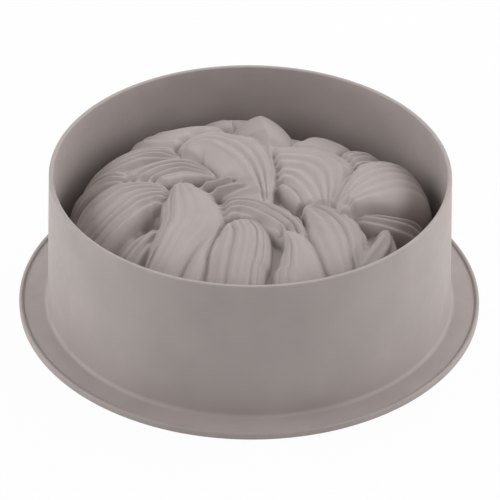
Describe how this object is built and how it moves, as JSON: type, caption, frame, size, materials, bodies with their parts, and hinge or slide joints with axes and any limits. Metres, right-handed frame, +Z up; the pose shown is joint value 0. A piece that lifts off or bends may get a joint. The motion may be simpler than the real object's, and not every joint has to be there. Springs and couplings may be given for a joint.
{
  "type": "silicone cake mould",
  "caption": "Round silicone cake mould with a plaited dome cavity, a flat rim flange with a raised bead, and a tall support skirt that it stands on when filled.",
  "frame": {"origin": "on the table, in the middle of the cavity's mouth, with the mould standing mouth down on its rim flange", "axes": "+Z up through the dome's crown, +X to the picture's right, +Y away from the camera"},
  "size_m": [0.235, 0.235, 0.078],
  "materials": {
    "silicone": "matte taupe silicone"
  },
  "bodies": {
    "root": {"rim_flange": "silicone", "rim_bead": "silicone", "support_skirt": "silicone", "cavity_crown": "silicone", "cavity_wall_right": "silicone", "cavity_wall_back": "silicone", "cavity_wall_left": "silicone", "cavity_wall_front": "silicone", "strand_front_left": "silicone", "strand_front": "silicone", "strand_right_front": "silicone", "strand_front_right": "silicone", "arch_centre": "silicone", "band_centre": "silicone", "arch_right": "silicone", "fan_right": "silicone", "arch_left": "silicone", "fan_left": "silicone", "knob_back": "silicone", "strand_back_left": "silicone", "strand_back_right": "silicone", "strand_left_back": "silicone", "strand_back_right_low": "silicone", "slip_right": "silicone", "finger_upper": "silicone", "finger_lower": "silicone", "strand_front_left_low": "silicone", "strand_right_low": "silicone", "tail_right_front": "silicone", "strand_left_far": "silicone", "strand_left_low": "silicone", "strand_back_low": "silicone"}
  },
  "joints": []
}
